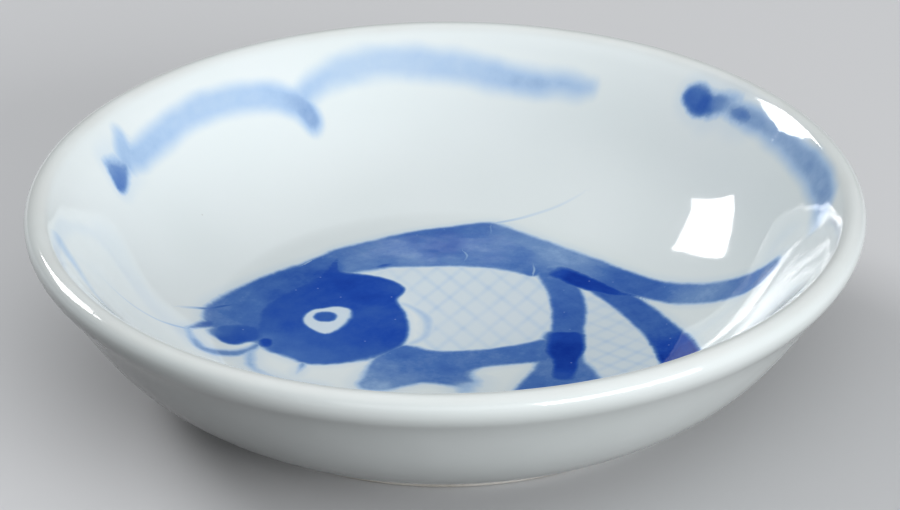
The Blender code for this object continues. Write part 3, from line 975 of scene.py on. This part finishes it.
def glaze_surface(shader, place):
    """The gloss that every glazed face shares: faint ripples, pinholes and a slightly uneven polish."""
    ripple = shader.noise(place, 0.16, 2.0, 0.45)
    peel = shader.noise(place, 0.9)
    normal = shader.bump(ripple, RIPPLE_DEPTH)
    normal = shader.bump(peel, PEEL_DEPTH, normal)
    pinhole = shader.dots(place, *PINHOLES)
    normal = shader.bump(shader.math("SUBTRACT", 1.0, pinhole), PINHOLE_DEPTH, normal)
    shader.set("Normal", normal)
    polish = shader.noise(place, 0.5, 3.0, 0.6)
    shader.set("Roughness", shader.ease(polish, 0.3, 0.8, *GLAZE_ROUGHNESS))
    shader.set("IOR", 1.5)
    return pinhole


def specks(shader, place):
    """Sparse iron specks in the glaze, away from the pinholes' pattern."""
    return shader.dots(shader.vector("ADD", place, SPECK_SHIFT), *SPECKS, channel=1)


def bubbles(shader, place, ink):
    """Tiny pale bubbles in the glaze, which show only over heavy ink."""
    dots = shader.dots(place, *BUBBLES, dimensions="2D")
    return shader.times(dots, shader.ease(ink, 0.4, 0.7))


def decorated_glaze():
    shader = Shader("decorated_glaze")
    place = shader.position()
    ink = shader.math("DIVIDE", brushwork(shader, place), INK_FULL)
    colour = shader.ramp(ink, [(amount / INK_FULL, linear(*screen)) for amount, screen in INK_COLOURS])
    colour = shader.mix(shader.times(bubbles(shader, place, ink), 0.3), colour, linear(*BUBBLE))
    cast = shader.noise(place, 0.05)
    tint = shader.ramp(cast, [(0.35, (1.0, 1.0, 1.0, 1)), (0.65, (0.975, 0.985, 0.98, 1))])
    colour = shader.mix(1.0, colour, tint, "MULTIPLY")

    # The glaze thins on the crest of the lip, where a little warm body shows
    thin = shader.ease(shader.split(place)[2], HEIGHT - THIN_REACH, HEIGHT)
    patchy = shader.ease(shader.noise(place, 0.12), 0.35, 0.65, 0.25, 0.38)
    colour = shader.mix(shader.times(thin, patchy), colour, linear(*THIN_GLAZE))
    pinhole = glaze_surface(shader, place)
    shader.set("Specular IOR Level", shader.ease(ink, 0.62, 0.80, CLEAR_GLOSS, INKED_GLOSS))
    flaws = shader.larger(shader.times(pinhole, 0.35), specks(shader, place))
    shader.set("Base Color", shader.mix(shader.times(flaws, 0.25), colour, linear(*SPECK)))
    return shader.material


def plain_glaze():
    shader = Shader("plain_glaze")
    place = shader.position()
    cast = shader.noise(place, 0.08, 3.0)
    colour = shader.ramp(cast, [(0.3, linear(224, 232, 234)), (0.7, linear(212, 223, 224))])
    pinhole = glaze_surface(shader, place)
    flaws = shader.larger(shader.times(pinhole, 0.4), specks(shader, place))
    shader.set("Base Color", shader.mix(shader.times(flaws, 0.8), colour, linear(120, 104, 88)))
    return shader.material


def bare_porcelain():
    shader = Shader("bare_porcelain")
    place = shader.position()
    grain = shader.noise(place, 2.2, 6.0, 0.65)
    stain = shader.noise(place, 0.12, 4.0, 0.6)
    tones = ((0.3, (204, 203, 199)), (0.55, (188, 185, 179)), (0.8, (162, 157, 148)))
    colour = shader.ramp(stain, [(amount, linear(*screen)) for amount, screen in tones])
    colour = shader.mix(shader.ease(grain, 0.35, 0.75, 0.0, 0.25), colour, linear(138, 133, 126))
    shader.set("Base Color", colour)
    shader.set("Roughness", shader.ease(grain, 0.2, 0.8, *BARE_ROUGHNESS))
    shader.set("Normal", shader.bump(grain, GRAIN_DEPTH))
    return shader.material


# Pieces


def make_glaze_coat():
    inside_fine, outside_fine = inside_path(FINE), outside_path(FINE)
    visible = joined(inside_fine, outside_fine)
    hidden = inset(joined(inside_path(COARSE), outside_path(COARSE)), GLAZE_THICKNESS)
    clear = hidden[:, 1] > GLAZE_EDGE + GLAZE_THICKNESS / 2
    section = np.concatenate((visible, hidden[clear][::-1]))
    mesh = turned_mesh("glaze_coat_fired", section)
    bake_map(mesh, section, len(inside_fine) - 1, len(visible) - 1)
    painted_attributes(mesh, 1 + (len(inside_fine) - 1) * SECTORS)
    placed(mesh, decorated_glaze(), "glaze_coat")


def make_porcelain_body():
    upper = inset(joined(inside_path(COARSE), outside_path(COARSE)), GLAZE_THICKNESS + TUCK)
    upper = upper[upper[:, 1] > GLAZE_EDGE + GLAZE_THICKNESS]
    under = inset(under_path(), GLAZE_THICKNESS + TUCK)
    mesh = turned_mesh("porcelain_body_bare", np.concatenate((upper, bare_foot_path(), under[1:])))
    placed(mesh, bare_porcelain(), "porcelain_body")


def make_base_glaze():
    under = under_path()
    mesh = turned_mesh("base_glaze_pool", np.concatenate((inset(under, GLAZE_THICKNESS)[::-1], under)))
    placed(mesh, plain_glaze(), "base_glaze")


# Stage, light and camera

FLOOR_SIZE = 4.0
FLOOR_DROP = 0.00002
FLOOR_COLOUR = (205, 206, 208)
FLOOR_BOUNCE = (45, 45, 46)

SKY_COLOUR = (0.97, 0.985, 1.0, 1)

# Each lamp: azimuth from +X to +Y, elevation, distance, width and height, power, roll about its aim
LAMPS = {
    "key": (-45 * DEGREE, 16 * DEGREE, 1.0, (0.78, 0.45), 8.8, 0.0),
    "front": (-90 * DEGREE, 22 * DEGREE, 1.2, (1.2, 0.7), 3.0, 0.0),
    "window": (137.5 * DEGREE, 32.4 * DEGREE, 1.4, (0.527, 0.376), 9.4, -7 * DEGREE),
}

# Each glow of the world: where it is centred, the cosines of its edge and its core, its strength
SKY = ((0.0, 0.0, 1.0), 0.55, 1.0, 1.1)
SIDE = ((0.55, 0.79, 0.26), 0.87, 1.0, 0.3)

LENS = 180.0
SENSOR = 36.0
IMAGE = (900, 510)
ELEVATION = 27.8 * DEGREE
ROLL = -0.25 * DEGREE
CAMERA_DISTANCE = 0.4962
ANCHOR = Vector((0, 0, 0.0117))
ANCHOR_PIXEL = (445.3, 266.9)


def make_floor():
    """A pale floor that throws little light back up, so that the outside of the wall keeps its shade."""
    half = FLOOR_SIZE / 2
    mesh = bpy.data.meshes.new("floor")
    corners = [(x, y, -FLOOR_DROP) for x, y in ((-half, -half), (half, -half), (half, half), (-half, half))]
    mesh.from_pydata(corners, [], [(0, 1, 2, 3)])
    shader = Shader("floor")
    rays = shader.new("ShaderNodeLightPath").outputs
    seen = shader.larger(rays["Is Camera Ray"], rays["Is Glossy Ray"])
    seen = shader.larger(seen, rays["Is Transmission Ray"])
    shader.set("Base Color", shader.mix(seen, linear(*FLOOR_BOUNCE), linear(*FLOOR_COLOUR)))
    shader.set("Roughness", 0.9)
    shader.set("Specular IOR Level", 0.2)
    mesh.materials.append(shader.material)
    floor = added("floor", mesh)


def softbox(name, azimuth, elevation, distance, size, power, roll):
    """A rectangular lamp aimed at the dish."""
    light = bpy.data.lights.new(name, "AREA")
    light.shape = "RECTANGLE"
    light.size, light.size_y = size
    light.energy = power
    lamp = added(name, light)
    level = math.cos(elevation)
    outward = Vector((level * math.cos(azimuth), level * math.sin(azimuth), math.sin(elevation)))
    lamp.location = ANCHOR + outward * distance
    aim = outward.to_track_quat("Z", "Y") @ Quaternion((0, 0, 1), roll)
    lamp.rotation_euler = aim.to_euler()


def glow(sky, towards, edge, core, strength):
    """A soft patch of light in the world, as a socket."""
    aim = sky.vector("DOT_PRODUCT", sky.coordinates("Generated"), towards)
    return sky.ease(aim, edge, core, 0.0, strength)


def make_world():
    """Light from above and a weak glow low at the back right.

    The well mirrors what is low straight behind the dish, so that stays dark.
    """
    world = bpy.data.worlds.new("studio")
    world.use_nodes = True
    sky = Nodes(world.node_tree)
    background = sky.nodes["Background"]
    background.inputs["Color"].default_value = SKY_COLOUR
    strength = sky.math("ADD", *(glow(sky, *patch) for patch in (SKY, SIDE)))
    sky.feed(background.inputs["Strength"], strength)
    bpy.context.scene.world = world


def make_camera():
    data = bpy.data.cameras.new("camera")
    data.lens = LENS
    data.sensor_width = SENSOR
    data.clip_start = 0.01
    camera = added("camera", data)
    forward = Vector((0, math.cos(ELEVATION), -math.sin(ELEVATION)))
    right = Matrix.Rotation(-ROLL, 3, forward) @ Vector((1, 0, 0))
    up = right.cross(forward)
    focal = LENS / SENSOR * IMAGE[0]
    across = (ANCHOR_PIXEL[0] - IMAGE[0] / 2) / focal
    below = (ANCHOR_PIXEL[1] - IMAGE[1] / 2) / focal
    place = ANCHOR - (forward + right * across - up * below) * CAMERA_DISTANCE
    camera.matrix_world = Matrix.Translation(place) @ Matrix((right, up, -forward)).transposed().to_4x4()
    bpy.context.scene.camera = camera


make_glaze_coat()
make_porcelain_body()
make_base_glaze()
make_floor()
for lamp, setting in LAMPS.items():
    softbox(lamp, *setting)
make_world()
make_camera()
bpy.context.scene.view_settings.view_transform = "Standard"
